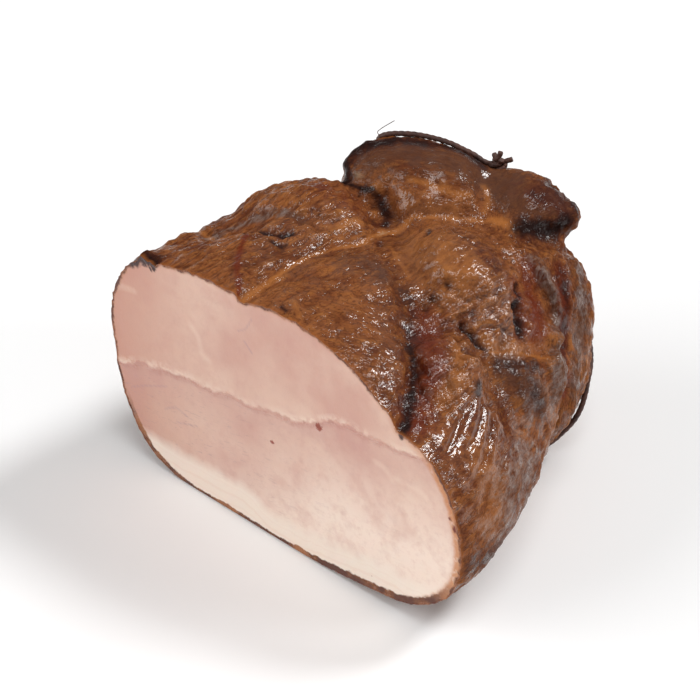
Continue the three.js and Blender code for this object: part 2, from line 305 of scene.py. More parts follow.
def muscle_distance(p, at, half, turn, squareness):
    yaw, pitch, roll = (math.radians(a) for a in turn)
    turned = Matrix.Rotation(yaw, 3, "Z") @ Matrix.Rotation(pitch, 3, "X") @ Matrix.Rotation(roll, 3, "Y")
    local = (p - np.array(at)) @ np.array(turned)
    size = (np.abs(local / np.array(half)) ** squareness).sum(1) ** (1 / squareness)
    return np.linalg.norm(local, axis=1) * (1 - 1 / np.maximum(size, NOT_ZERO))


def all_distances(p):
    rows = [main_muscle_distance(p)]
    for at, half, turn, squareness, fibres in MUSCLES.values():
        rows.append(muscle_distance(p, at, half, turn, squareness))
    return np.stack(rows)


def smooth_distance(p):
    rows = all_distances(p)
    least = rows.min(0)
    return least - MEAT_BLEND * np.log(np.exp((least - rows) / MEAT_BLEND).sum(0))


def smooth_line(points, pieces=2):
    """Points along the curve through some points, the given number of pieces to a stretch."""
    ends = [2 * Vector(points[0]) - Vector(points[1])]
    ends += [Vector(q) for q in points]
    ends += [2 * Vector(points[-1]) - Vector(points[-2])]
    line = []
    for four in zip(ends, ends[1:], ends[2:], ends[3:]):
        line += [curve_between(*four, k / pieces) for k in range(pieces)]
    return np.array(line + [ends[-2]])


def line_distance(p, line, reach):
    """Distance of each point from a line, no more than reach, and its place along it from 0 to 1."""
    best = np.full(len(p), float(reach))
    along = np.zeros(len(p))
    near = ((p > line.min(0) - reach) & (p < line.max(0) + reach)).all(1)
    q = p[near]
    least = best[near]
    place = along[near]
    for i, (start, end) in enumerate(zip(line, line[1:])):
        way = end - start
        t = np.clip((q - start) @ way / (way @ way), 0, 1)
        gap = np.linalg.norm(q - start - t[:, None] * way, axis=1)
        closer = gap < least
        least[closer] = gap[closer]
        place[closer] = (i + t[closer]) / (len(line) - 1)
    best[near] = least
    along[near] = place
    return best, along


LINES = {name: smooth_line(points) for name, (depth, width, points) in {**FURROWS, **WRINKLES}.items()}


BELL_REACH = 3  # a bell is cut off at this many half widths
FURROW_END = 0.25  # the share of its depth that a furrow has at its ends
FURROW_RUN_IN = 8  # how fast the depth grows from there


def bell(gap, half_width):
    return np.where(gap < BELL_REACH * half_width, np.exp(-((gap / half_width) ** 2)), 0)


def furrow_depth(p, furrows):
    total = np.zeros(len(p))
    for name, (depth, width, points) in furrows.items():
        gap, along = line_distance(p, LINES[name], BELL_REACH * width)
        share = np.clip(np.minimum(along, 1 - along) * FURROW_RUN_IN + FURROW_END, 0, 1)
        total += depth * bell(gap, width) * share
    return total


def skin_distance(p):
    return smooth_distance(p) + furrow_depth(p, FURROWS)


def slope(p, step=0.4):
    """Which way the distance grows at each point, as unit vectors, and how fast."""
    rise = np.stack([
        skin_distance(p + np.eye(3)[axis] * step) - skin_distance(p - np.eye(3)[axis] * step)
        for axis in range(3)
    ], axis=1) / (2 * step)
    size = np.maximum(np.linalg.norm(rise, axis=1), LEAST_SLOPE)
    return rise / size[:, None], size


def places(bm):
    return np.array([v.co for v in bm.verts])


def place(bm, points):
    for v, point in zip(bm.verts, points):
        v.co = point


def settle(bm, rounds, smoothing):
    """Evens out the mesh and draws it back onto the skin."""
    for _ in range(rounds):
        for _ in range(smoothing):
            bmesh.ops.smooth_vert(
                bm, verts=bm.verts[:], factor=0.5, use_axis_x=True, use_axis_y=True, use_axis_z=True)
        points = places(bm)
        way, size = slope(points)
        step = np.clip(skin_distance(points) / size, -LONGEST_STEP, LONGEST_STEP)
        place(bm, points - way * step[:, None])


bm = bmesh.new()
bmesh.ops.create_cube(bm, size=2)
bmesh.ops.subdivide_edges(bm, edges=bm.edges[:], cuts=FIRST_CUTS, use_grid_fill=True)
rays = places(bm)
rays /= np.linalg.norm(rays, axis=1)[:, None]
inside = np.full(len(rays), float(REACH))
for _ in range(int(REACH / STEP_IN)):
    out = smooth_distance(HEART + rays * inside[:, None]) > 0
    inside[out] -= STEP_IN
place(bm, HEART + rays * inside[:, None])
settle(bm, rounds=4, smoothing=3)
bmesh.ops.subdivide_edges(bm, edges=bm.edges[:], cuts=FINER_CUTS, use_grid_fill=True)
settle(bm, rounds=2, smoothing=2)

bmesh.ops.bisect_plane(
    bm, geom=bm.verts[:] + bm.edges[:] + bm.faces[:], dist=CUT_CLEARANCE,
    plane_co=(0, 0, 0), plane_no=(0, 1, 0))
skin = places(bm)
ahead = skin[:, 1] < CUT_CLEARANCE
onto_cut = HEART[1] / (HEART[1] - skin[:, 1])
skin[ahead] = (HEART + (skin - HEART) * onto_cut[:, None])[ahead]
skin[ahead, 1] = 0
place(bm, skin)
bm.normal_update()
normals = np.array([v.normal for v in bm.verts])
on_cut = np.array([all(abs(w.co.y) < ON_PLANE for f in v.link_faces for w in f.verts) for v in bm.verts])
on_rim = (np.abs(skin[:, 1]) < ON_PLANE) & ~on_cut

# How far each point is from the cut edge: over the skin, and inwards over the cut face.
outline = KDTree(int(on_rim.sum()))
for i, point in enumerate(skin[on_rim]):
    outline.insert(point, i)
outline.balance()
rim = np.maximum(skin[:, 1], 0)
nearest_rim = np.zeros(len(skin), int)
rim_index = np.flatnonzero(on_rim)
for i in np.flatnonzero(on_cut):
    spot, index, gap = outline.find(skin[i])
    rim[i] = gap
    nearest_rim[i] = rim_index[index]

rows = all_distances(skin)
shares = np.exp((rows.min(0) - rows) / FIBRE_BLEND)
shares /= shares.sum(0)
ways = ["lengthways"] + [fibres for at, half, turn, squareness, fibres in MUSCLES.values()]
fibre_share = {way: sum(shares[i] for i, name in enumerate(ways) if name == way) for way in FIBRE_WAYS}

# What the smoke did, and where shade and sheen are painted: each kind of patch has a reach, a strength and
# the line that it follows.
PATCHES = {
    "orange": [
        (1.6, 1.0, [(-18, -1, 104), (-19, 12, 103), (-20, 24, 102)]),
        (1.1, 0.85, [(-20, 24, 102), (-20, 34, 101), (-19, 42, 101), (-16, 51, 100), (-13, 59, 99)]),
        (1.8, 1.0, [(-13, 60, 99), (-14, 67, 98), (-15, 74, 95), (-13, 77, 95), (-11, 85, 98)]),
        (1.3, 0.9, [(-11, 85, 98), (-4, 90, 99), (5, 98, 98), (11, 104, 98)]),
        (1.6, 0.6, [(-8, 67, 97), (2, 61, 99), (8, 59, 98), (13, 55, 97)]),
        (1.5, 0.9, [(-19, 92, 108), (-13, 94, 108), (-8, 96, 107), (-3, 99, 106), (0, 103, 104)]),
        (3.0, 0.8, [(-7, 97, 107), (-2, 99, 105)]),
        (2.4, 0.9, [(-31, 85, 102), (-29, 87, 102)]),
        (2.6, 1.0, [(11, 105, 98), (15, 106, 97), (21, 107, 96)]),
        (1.6, 0.8, [(1, 112, 104), (5, 109, 101), (7, 105, 99)]),
        (1.1, 0.9, [(50, 57, 82), (54, 69, 77), (58, 79, 71)]),
        (1.4, 0.8, [(35, 55, 92), (42, 58, 89), (48, 59, 84)]),
        (4.0, 0.7, [(46, 45, 93), (52, 38, 93), (57, 30, 89), (58, 22, 86)]),
        (4.5, 0.6, [(49, 60, 83), (52, 66, 80), (54, 77, 75)]),
        (2.0, 0.8, [(-22, 58, 102), (-22, 62, 103), (-20, 66, 102)]),
        (1.6, 0.6, [(0, 8, 107), (5, 5, 108), (9, 2, 107)]),
        (13, 0.65, [(6, 72, 101), (18, 68, 101), (28, 66, 100)]),
        (8.0, 0.5, [(-15, 88, 101), (0, 95, 102)]),
        (6, 0.5, [(-2, 90, 101), (10, 98, 101)]),
        (12, 0.5, [(74, 20, 70), (80, 20, 60), (84, 18, 50)]),
    ],
    # greyish-brown skin on the crown, the tip and the dome, and painted grazing sheen along the left ridge,
    # the right band, the rear and the flank
    "grey": [
        (12, 1.0, [(-38, 95, 108), (-28, 102, 112), (-11, 109, 112), (-5, 115, 107)]),
        (10, 1.1, [(0, 117, 104), (7, 119, 105), (15, 116, 103), (26, 126, 101)]),
        (10, 0.6, [(-6, 45, 103), (8, 47, 102)]),
        (2.2, 0.9, [(-62, 27, 95), (-57, 38, 98), (-51, 46, 100), (-43, 50, 103), (-34, 51, 103)]),
        (3.5, 0.9, [(35, 100, 93), (42, 100, 85), (48, 98, 76), (56, 89, 72), (63, 79, 66)]),
        (7, 0.9, [(42, 118, 82), (49, 113, 72), (54, 106, 58), (60, 96, 50)]),
        (12, 0.6, [(82, 30, 50), (76, 50, 50), (80, 40, 20)]),
        (8, 1.1, [(58, 58, 78), (63, 60, 72), (66, 66, 63)]),
        (7, 1.1, [(52, 95, 70), (59, 87, 66), (62, 80, 58)]),
    ],
    "red": [
        (9, 0.9, [(30, 46, 94), (41, 33, 95), (49, 24, 93), (54, 17, 89), (58, 8, 86)]),
        (4, 0.9, [(42, 107, 88), (50, 100, 73), (55, 94, 65), (60, 88, 50)]),
        (8, 0.45, [(18, 123, 104), (24, 124, 102), (29, 126, 99)]),
        (1.2, 1.0, [(-44, 30, 103), (-39, 22, 104), (-32, 13, 105), (-24, 5, 105), (-19, 0, 105)]),
        (5, 0.7, [(40, 83, 93), (48, 80, 86), (52, 74, 82)]),
        (6, 0.9, [(38, 96, 93), (44, 91, 87), (49, 86, 83), (54, 78, 78)]),
        (10, 0.5, [(-40, 70, 106), (-28, 75, 105)]),
        (1.2, 1.0, [(81, 0, 59), (84, 0, 53)]),
    ],
    # burnt skin on the crown's rims, the tip's end, the shoulder's right end, dark patches on the flank and
    # the knob at the cut, and painted shade: black down the deep crease with a soft dark halo, in the pits,
    # slits and cracks, in the shoulder's wrinkle and pocket and under the tip; and darker down the rear
    # valley
    "char_and_shade": [
        (5.0, 1.1, [(-45, 84, 99), (-49, 89, 101), (-50, 96, 105), (-46, 99, 108), (-39, 102, 111)]),
        (5.0, 0.85, [(-39, 104, 111), (-31, 109, 113), (-20, 116, 112), (-8, 121, 108)]),
        (1.4, 1.0, [(-47, 83, 99), (-39, 84, 99), (-31, 85, 101)]),
        (3.2, 0.8, [(-29, 80, 102), (-24, 78, 101), (-20, 76, 99), (-18, 76, 97)]),
        (2.0, 1.0, [(-29, 84, 100), (-25, 83, 98), (-21, 81, 97), (-18, 78, 96)]),
        # painted shade in the shoulder's wrinkle and pocket
        (1.5, 1.0, [(-47, 33, 102), (-46, 36, 102), (-39, 38, 103), (-32, 42, 103)]),
        (1.6, 0.7, [(-36, 34, 103), (-30, 36, 103)]),
        (6.0, 0.7, [(17, 135, 103), (23, 136, 101), (30, 133, 97)]),
        (8.0, 0.5, [(19, 124, 104), (25, 125, 102), (30, 128, 98)]),
        # painted shade under the tip
        (5.0, 1.0, [(22, 109, 96), (26, 114, 95), (29, 121, 93), (31, 125, 95)]),
        # painted shade: the deep crease drawn black, with a soft dark halo
        (1.5, 0.9, [(14, 50, 100), (21, 46, 98), (25, 42, 96), (35, 30, 94)]),
        (2.2, 1.0, [(35, 30, 94), (45, 21, 91), (53, 10, 88), (58, 0, 83)]),
        (5.0, 0.5, [(18, 48, 98), (25, 42, 96), (35, 30, 94), (45, 21, 91), (53, 10, 88)]),
        # painted shade in the pits, slits and cracks
        (1.4, 1.0, [(26, 60, 100), (28, 60, 99)]),
        (1.3, 1.0, [(1, 77, 101), (2, 79, 101)]),
        (1.3, 0.9, [(24, 55, 96), (26, 50, 94)]),
        (1.6, 1.0, [(40, 85, 93), (43, 82, 91)]),
        (1.6, 1.0, [(44, 79, 90), (48, 76, 87), (50, 75, 84), (51, 73, 81)]),
        (0.9, 0.9, [(37, 56, 90), (39, 55, 88), (42, 56, 87), (44, 55, 85), (48, 56, 83)]),
        (1.0, 0.8, [(13, 79, 104), (16, 85, 103)]),
        (4.0, 0.55, [(55, 55, 80), (58, 62, 78), (59, 72, 73)]),
        (7.5, 0.45, [(60, 58, 77), (64, 62, 70), (67, 66, 62)]),
        (4.0, 0.5, [(42, 107, 88), (47, 104, 80), (50, 100, 73), (56, 93, 63)]),
        (9, 0.5, [(87, 6, 37), (84, 24, 26), (74, 42, 16)]),
        (2.5, 0.8, [(62, 37, 86), (64, 35, 84)]),
        # painted shade in two more pits
        (0.9, 0.7, [(-2, 4, 107), (2, 3, 107), (6, 2, 106)]),
        (1.0, 0.6, [(-10, 65, 97), (-8, 65, 97)]),
        (4.5, 1.0, [(-74, 0, 93), (-68, 0, 96), (-64, 1, 98)]),
        (1.2, 1.2, [(-63, 0, 99), (-62.5, 0, 97), (-63.5, 0, 94)]),
    ],
    "cream": [
        (2.4, 0.45, [(-42, 87, 102), (-37, 88, 103)]),
        (1.1, 0.9, [(-37, 72, 105), (-38, 77, 103), (-39, 82, 100)]),
        (1.5, 0.5, [(-15, 74, 95), (-14, 67, 98)]),
    ],
    "smooth": [
        (13, 1.0, [(-38, 95, 108), (-28, 102, 112), (-11, 109, 112), (-5, 115, 107)]),
        (9, 1.0, [(0, 117, 104), (7, 119, 105), (15, 116, 103)]),
        (9, 0.6, [(-6, 45, 103), (8, 47, 102)]),
        (10, 1.1, [(62, 32, 84), (68, 24, 79), (67, 12, 80)]),
        (6, 1.0, [(1, 70, 98), (6, 63, 98), (11, 60, 98)]),
        (6, 1.0, [(27, 76, 103), (30, 66, 101)]),
        (8, 0.5, [(18, 128, 104), (24, 131, 101), (29, 130, 98)]),
    ],
    "rough": [
        (11, 0.5, [(10, 76, 102), (22, 72, 100), (34, 66, 96)]),
        (9, 1.0, [(30, 46, 94), (41, 33, 95), (49, 24, 93), (54, 17, 89), (58, 8, 86)]),
        (8, 1.0, [(46, 45, 93), (52, 38, 93), (57, 30, 89), (58, 22, 86)]),
        (9, 0.7, [(36, 62, 94), (44, 72, 90), (50, 68, 84)]),
        (9, 0.8, [(59, 64, 76), (63, 71, 69), (60, 86, 60)]),
        (5, 0.8, [(-39, 82, 101), (-31, 83, 101), (-22, 80, 98)]),
        (8, 0.5, [(-36, 38, 103), (-26, 44, 104), (-24, 58, 102)]),
    ],
    # dried, fibrous streaks, painted as a pale grazing sheen on the right band, the rear, the flank and the
    # left ridge
    "dry": [
        (2.6, 1.0, [(35, 100, 93), (42, 100, 85), (48, 98, 76), (56, 89, 72), (63, 79, 66)]),
        (4.5, 1.0, [(44, 120, 82), (51, 115, 72), (56, 109, 58), (61, 100, 48)]),
        (5, 0.8, [(62, 70, 71), (66, 74, 60), (68, 72, 42)]),
        (13, 0.8, [(80, 30, 55), (74, 50, 56), (82, 26, 40), (76, 40, 20)]),
        (2.5, 0.8, [(-62, 27, 95), (-57, 38, 98), (-51, 46, 100), (-43, 50, 103)]),
    ],
    "wet": [
        (16, 0.75, [(2, 74, 101), (20, 72, 100), (34, 66, 96), (48, 66, 85)]),
        (11, 1.0, [(62, 32, 84), (70, 22, 78), (68, 12, 80)]),
        (10, 0.65, [(30, 46, 94), (41, 33, 95), (49, 24, 93), (56, 14, 88)]),
        (8, 0.55, [(8, 42, 103), (24, 30, 101), (38, 14, 98), (48, 0, 94)]),
        (7, 0.8, [(-22, 40, 102), (-40, 40, 104), (-24, 60, 102)]),
        (7, 0.7, [(-10, 88, 100), (4, 94, 101)]),
    ],
}


def patch_strength(p, patches):
    """The strongest of some patches at each point."""
    total = np.zeros(len(p))
    for reach, strength, points in patches:
        gap, along = line_distance(p, smooth_line(points), BELL_REACH * reach)
        total = np.maximum(total, strength * bell(gap, reach))
    return total


def laid_on_skin(points):
    line = smooth_line(points, pieces=8)
    for _ in range(8):
        way, size = slope(line)
        line = line - way * np.clip(skin_distance(line) / size, -LONGEST_STEP, LONGEST_STEP)[:, None]
    return line


patches = {kind: patch_strength(skin, rows) for kind, rows in PATCHES.items()}
wrinkles = furrow_depth(skin, WRINKLES)
for points in NET_MARKS:
    gap, along = line_distance(skin, laid_on_skin(points), BELL_REACH * NET_MARK_HALF_WIDTH)
    wrinkles += NET_MARK_DEPTH * bell(gap, NET_MARK_HALF_WIDTH)
    patches["orange"] = np.maximum(patches["orange"], NET_STAIN * bell(gap, NET_STAIN_HALF_WIDTH))

fibre_turns = {
    way: np.array(Vector(along).to_track_quat("X", "Z").to_matrix()) for way, along in FIBRE_WAYS.items()}


def noise_over(points):
    return np.array([noise.noise(Vector(q)) for q in points])


# The skin shrank: rounded folds with sharp clefts along the fibres, broad dents, thin raised crinkles and
# small pebbles. Each noise is read at a shift of its own, so that no two of them agree.
def bumps(size, shift=0):
    """Noise over the skin, with swellings of a size in millimetres."""
    return noise_over(skin / size + shift)


SMALL_FOLD = np.array([5, 2.8, 2.8])
SMALL_FOLD_HEIGHT = 1.2
FOLD_LEVEL = 0.2  # where a fold's noise is at the skin's own level
FADE_HEIGHT = 6  # below this height the relief fades out towards the table
FADE_FROM_CUT = 5  # nearer to the cut than this it falls to half
RAGGED_EDGE_WIDTH = 2.5
PULL_OF_EDGE = 6  # how far the edge's waves reach into the cut face
PRESSED_BELOW = 4  # the skin is pressed flat by the table, with a soft edge up to this height
PRESSED_EDGE = 1.0
LOWEST_SKIN = 0.02
folds = np.zeros(len(skin))
for way, (length, width, height) in FOLDS.items():
    turned = skin @ fibre_turns[way]
    long_fold = np.abs(noise_over(turned / np.array([length, width, width])))
    folds += height * fibre_share[way] * (long_fold - FOLD_LEVEL)
    small_fold = np.abs(noise_over(turned / SMALL_FOLD + 30))
    folds += SMALL_FOLD_HEIGHT * fibre_share[way] * (small_fold - FOLD_LEVEL)
calm = 1 - 0.75 * patches["smooth"]
dents = 1.3 * bumps(16)
crinkles = 0.4 - np.abs(bumps(6, shift=90)) ** 0.7
pebbles = 0.4 * np.abs(bumps(3.8, shift=20)) + 0.9 * np.abs(bumps(7.5, shift=50)) - 0.26
relief = calm * folds + dents
long_fibred = 1 - 0.6 * (fibre_share["flank"] + fibre_share["upright"])
relief += (0.5 * calm * long_fibred + 0.8 * patches["rough"]) * crinkles
relief += (0.5 * calm * long_fibred + 3.2 * patches["rough"]) * pebbles
above_table = np.clip(skin[:, 2] / FADE_HEIGHT, 0, 1)
behind_cut = np.clip(rim / FADE_FROM_CUT, 0, 1)
lift = relief * (0.5 + 0.5 * behind_cut) * above_table
lift -= wrinkles * np.clip(2 * skin[:, 2] / FADE_HEIGHT + 0.4, 0, 1)
ragged_edge = 0.35 * bumps(2.6, shift=60) + 0.5 * bumps(7, shift=70)
ragged_edge *= bell(rim, RAGGED_EDGE_WIDTH) * np.clip(2 * skin[:, 2] / FADE_HEIGHT + 0.5, 0, 1)
lift += ragged_edge * ~on_cut
move = normals * lift[:, None]
move[np.abs(skin[:, 1]) < ON_PLANE, 1] = 0
for i in np.flatnonzero(on_cut):
    move[i] = move[nearest_rim[i]] * math.exp(-rim[i] / PULL_OF_EDGE)
moved = skin + move
height = moved[:, 2]
pressed = 0.5 * (height + np.hypot(height, PRESSED_EDGE))
moved[:, 2] = np.maximum(np.where(height < PRESSED_BELOW, pressed, height), LOWEST_SKIN)
place(bm, moved)
bm.normal_update()
for face in bm.faces:
    face.smooth = True
    face.material_index = int(all(abs(v.co.y) < ON_PLANE for v in face.verts))
for e in bm.edges:
    if len({face.material_index for face in e.link_faces}) > 1:
        e.smooth = False
to_frame = Matrix.Translation((0, CUT_Y, 0)) @ Matrix.Scale(MM, 4)
bmesh.ops.transform(bm, matrix=to_frame, verts=bm.verts[:])
ham = finished(bm, "smoked_ham")


def store(name, values):
    """Keeps a number or a vector for each vertex of the ham, for its materials to read."""
    vector = values.ndim > 1
    layer = ham.data.attributes.new(name, "FLOAT_VECTOR" if vector else "FLOAT", "POINT")
    layer.data.foreach_set("vector" if vector else "value", values.astype(np.float32).ravel())


# Lines on the cut face, as X and Z: the fatty seam between the two big muscles, the top of the fat under
# the rind, pale veins, bruised veins, and specks of blood.
SEAM = [
    (-90, 42), (-83, 43), (-66, 50), (-49, 54), (-35, 55), (-25, 58), (-16, 58), (-6, 61), (8, 64),
    (24, 73), (32, 75), (45, 76), (56, 77), (90, 86),
]
FAT_TOP = [
    (-90, 12), (-73, 14), (-56, 14), (-40, 15), (-25, 16), (-14, 15), (-6, 11), (14, 12), (34, 16),
    (53, 19), (67, 19), (90, 26),
]
PALE_VEINS = [
    [(-44, 79), (-40, 75), (-39, 69), (-35, 67)],
    [(-84, 77), (-79, 79), (-73, 80)],
    [(46, 65), (51, 64), (54, 61)],
    [(54, 62), (67, 63), (72, 60)],
]
BRUISED_VEINS = [
    [(-13, 98), (-16, 92), (-20, 89)],
    [(-17, 86), (-13, 82)],
    [(-78, 32), (-70, 37), (-58, 43)],
    [(-60, 31), (-54, 35), (-48, 34)],
    [(-54, 28), (-43, 32)],
]
SPECKS = [((19, 66), 1.6), ((-4, 46), 1.0), ((45, 10), 0.5), ((-58, 8), 0.5)]


def height_over(line):
    curve = smooth_line([(x, 0, z) for x, z in line], pieces=6)
    return skin[:, 2] - np.interp(skin[:, 0], curve[:, 0], curve[:, 2])


def nearest_of(lines, reach=8):
    gaps = [line_distance(skin, smooth_line([(x, 0, z) for x, z in line]), reach)[0] for line in lines]
    return np.minimum.reduce(gaps)


store("fibre_share", np.stack([fibre_share[way] for way in ("across", "flank", "upright")], axis=1))
for kind, strength in patches.items():
    store(kind, strength)
# painted shade: how deep each point lies in the furrows and wrinkles, for the skin to be darkened there
store("furrow_shade", np.clip(furrow_depth(skin, FURROWS) / 6, 0, 1) + np.clip(wrinkles / 2, 0, 1))
# the height of the relief, for painted light on the raised skin and painted shade in its clefts
store("raised", relief - dents)
store("rim", rim)
store("seam", height_over(SEAM))
store("fat", height_over(FAT_TOP))
store("pale_vein", nearest_of(PALE_VEINS))
store("bruised_vein", nearest_of(BRUISED_VEINS))
store("speck", np.minimum.reduce([
    np.linalg.norm(skin - np.array([x, 0, z]), axis=1) / size for (x, z), size in SPECKS]))


def put(tree, kind, values=None, **settings):
    """Adds a node with its settings and what its inputs take."""
    node = tree.nodes.new(kind)
    for key, value in settings.items():
        setattr(node, key, value)
    fill(tree, node, values or {})
    return node


def mixed(tree, factor, first, second):
    """A colour part of the way from the first to the second."""
    first, second = ((*value, 1) if isinstance(value, tuple) else value for value in (first, second))
    return put(tree, "ShaderNodeMix", {0: factor, 6: first, 7: second}, data_type="RGBA").outputs[2]


def ranged(tree, value, low, high, to_low=0.0, to_high=1.0):
    node = put(tree, "ShaderNodeMapRange", {
        "Value": value, "From Min": low, "From Max": high, "To Min": to_low, "To Max": to_high})
    return node.outputs["Result"]


def maths(tree, operation, first, second):
    return put(tree, "ShaderNodeMath", {0: first, 1: second}, operation=operation).outputs[0]


def read(tree, name):
    return put(tree, "ShaderNodeAttribute", attribute_name=name).outputs["Fac"]


def noisy(tree, place, scale, detail=3.0, roughness=0.55, distortion=0.0):
    return put(tree, "ShaderNodeTexNoise", {
        "Vector": place, "Scale": scale, "Detail": detail, "Roughness": roughness, "Distortion": distortion,
    }).outputs["Fac"]


def times(tree, first, *others):
    """The product of some numbers and sockets."""
    for other in others:
        first = maths(tree, "MULTIPLY", first, other)
    return first


def added(tree, first, second, share):
    """The first value and a share of the second."""
    return maths(tree, "ADD", first, times(tree, second, share))


def layered(tree, base, layers):
    """Lays colours over a base: each has a mask, the values where it starts and is full, and a strength."""
    for mask, none, full, strength, colour in layers.values():
        base = mixed(tree, times(tree, ranged(tree, mask, none, full), strength), base, colour)
    return base


def bumped(tree, height, strength, distance, under=None):
    """A normal bent by a relief, on top of the relief under it."""
    values = {"Strength": strength, "Distance": distance * MM, "Height": height}
    if under is not None:
        values["Normal"] = under
    return put(tree, "ShaderNodeBump", values).outputs[0]


# The bark: brown from smoke, streaked along the fibres, orange where fat rose, black where it burned. Its
# colour also holds painted shade in the clefts, creases, furrows, pits and the deep crease, painted light
# on the raised skin, and painted grazing sheen on the ridges and the flank.
skin_material, tree, shader = new_material("smoked_skin")
spot = put(tree, "ShaderNodeTexCoord").outputs["Object"]
share = put(tree, "ShaderNodeSeparateXYZ", {
    "Vector": put(tree, "ShaderNodeAttribute", attribute_name="fibre_share").outputs["Vector"]}).outputs


def along_fibres(tree, length, thickness, **settings):
    """Streaks that follow each muscle's fibres, with their length and thickness in millimetres."""
    streaks = None
    for i, way in enumerate(("lengthways", "across", "flank", "upright")):
        turned = put(tree, "ShaderNodeMapping", {
            "Vector": spot,
            "Rotation": Vector(FIBRE_WAYS[way]).to_track_quat("X", "Z").to_euler(),
            "Scale": (length * MM, thickness * MM, thickness * MM),
        }, vector_type="TEXTURE").outputs[0]
        layer = noisy(tree, turned, 1.0, **settings)
        if streaks is None:
            streaks = layer
            continue
        blend = put(tree, "ShaderNodeMix", {0: share[i - 1], 2: streaks, 3: layer}, data_type="FLOAT")
        streaks = blend.outputs[0]
    return streaks


fibre = along_fibres(tree, 4.5, 1.6, detail=4.0, roughness=0.55, distortion=0.5)
streak = along_fibres(tree, 15.0, 1.8, detail=3.0, distortion=0.4)
wave = along_fibres(tree, 4.2, 2.0, detail=1.0, distortion=0.4)
creased = maths(tree, "ABSOLUTE", maths(tree, "SUBTRACT", wave, 0.5), 0.0)
broad = noisy(tree, spot, 24.0, detail=2.0)
patch = noisy(tree, spot, 60.0)
blotch = noisy(tree, spot, 170.0, detail=4.0)
fleck = noisy(tree, spot, 600.0, detail=4.0, roughness=0.65)
pores = noisy(tree, spot, 900.0, detail=2.0, roughness=0.5)
ragged = maths(tree, "SUBTRACT", added(tree, times(tree, fleck, 0.7), blotch, 1.1), 0.9)


def torn(tree, name):
    """A patch with its edges broken up by flecks."""
    return maths(tree, "ADD", read(tree, name), ragged)


raised = read(tree, "raised")
char_and_shade_mask = torn(tree, "char_and_shade")
# painted grazing sheen: pale fibrous streaks over the dry patches
strands = times(tree, ranged(tree, torn(tree, "dry"), 0.2, 0.9), ranged(tree, fibre, 0.44, 0.60))
cut_gap = maths(tree, "ADD", read(tree, "rim"), fleck)
bark = mixed(tree, ranged(tree, patch, 0.36, 0.66), (0.148, 0.042, 0.015), (0.275, 0.092, 0.029))
bark = layered(tree, bark, {
    "deep brown areas": (broad, 0.46, 0.62, 0.55, (0.100, 0.022, 0.008)),
    # painted light lightens the raised relief; painted shade darkens its clefts, where grease also gathers
    "painted light on raised skin": (raised, 0.1, 1.0, 0.5, (0.36, 0.135, 0.038)),
    "painted shade and grease in the clefts": (raised, -0.1, -0.6, 0.62, (0.048, 0.012, 0.005)),
    "pale fibres": (fibre, 0.54, 0.68, 0.5, (0.34, 0.130, 0.036)),
    "dark fibres": (fibre, 0.46, 0.34, 0.6, (0.055, 0.013, 0.006)),
    "pale streaks": (streak, 0.53, 0.66, 0.5, (0.37, 0.135, 0.036)),
    "dark streaks": (streak, 0.47, 0.35, 0.5, (0.070, 0.020, 0.010)),
    "amber blotches": (blotch, 0.54, 0.68, 0.3, (0.32, 0.098, 0.022)),
    # painted shade along the creases of the fine bump that puckers the skin
    "creases": (creased, 0.035, 0.0, 0.6, (0.050, 0.012, 0.006)),
    "flecks": (fleck, 0.60, 0.72, 0.5, (0.050, 0.014, 0.008)),
    # greyish-brown skin, and painted grazing sheen on the ridges and the flank
    "grey skin and painted sheen": (torn(tree, "grey"), 0.2, 0.8, 0.75, (0.084, 0.034, 0.020)),
    "red areas": (torn(tree, "red"), 0.2, 0.8, 0.75, (0.125, 0.015, 0.005)),
    # painted shade in the furrows, wrinkles and twine marks
    "furrows": (read(tree, "furrow_shade"), 0.35, 1.3, 0.55, (0.06, 0.014, 0.006)),
    "risen fat": (torn(tree, "orange"), 0.2, 0.9, 0.8, (0.39, 0.138, 0.034)),
    "cream fat": (torn(tree, "cream"), 0.3, 0.7, 0.9, (0.42, 0.27, 0.16)),
    # painted grazing sheen in pale fibrous streaks
    "painted sheen strands": (strands, 0.0, 1.0, 0.6, (0.26, 0.20, 0.175)),
    # burnt skin, and painted shade in the deep crease, the pits and slits and under the tip
    "scorched skin and painted shade": (char_and_shade_mask, 0.1, 0.7, 0.75, (0.045, 0.011, 0.008)),
    "blackened skin and black painted shade": (char_and_shade_mask, 0.35, 0.95, 0.95, (0.016, 0.006, 0.005)),
    "singed edge": (cut_gap, 2.0, 0.8, 0.6, (0.30, 0.095, 0.025)),
})
wetness = ranged(tree, torn(tree, "wet"), 0.0, 0.8)
wetness = maths(tree, "ADD", wetness, ranged(tree, blotch, 0.42, 0.60, 0.0, 0.6))
wetness = added(tree, wetness, read(tree, "char_and_shade"), -0.35)

# its finest relief: soft lumps, the creases between the fibres, and pores
rough = added(tree, added(tree, 0.5, read(tree, "smooth"), -0.25), read(tree, "rough"), 0.7)
slack = ranged(tree, noisy(tree, spot, 90.0), 0.38, 0.6, 0.45, 1.1)
slack = added(tree, slack, maths(tree, "ADD", read(tree, "smooth"), read(tree, "wet")), -0.35)
lumpy = bumped(tree, times(tree, rough, blotch), 0.8, 2.2)
puckered = bumped(tree, times(tree, slack, maths(tree, "MINIMUM", creased, 0.16)), 0.7, 2.2, lumpy)
pitted = bumped(tree, times(tree, rough, pores), 0.5, 0.3, puckered)
fill(tree, shader, {
    "Base Color": bark,
    "Roughness": ranged(tree, fibre, 0.35, 0.65, 0.42, 0.58),
    "Specular IOR Level": 0.04,
    "Coat Weight": ranged(tree, wetness, 0.0, 1.0),
    "Coat Roughness": 0.10,
    "Coat Normal": puckered,
    "Normal": pitted,
})
ham.data.materials.append(skin_material)

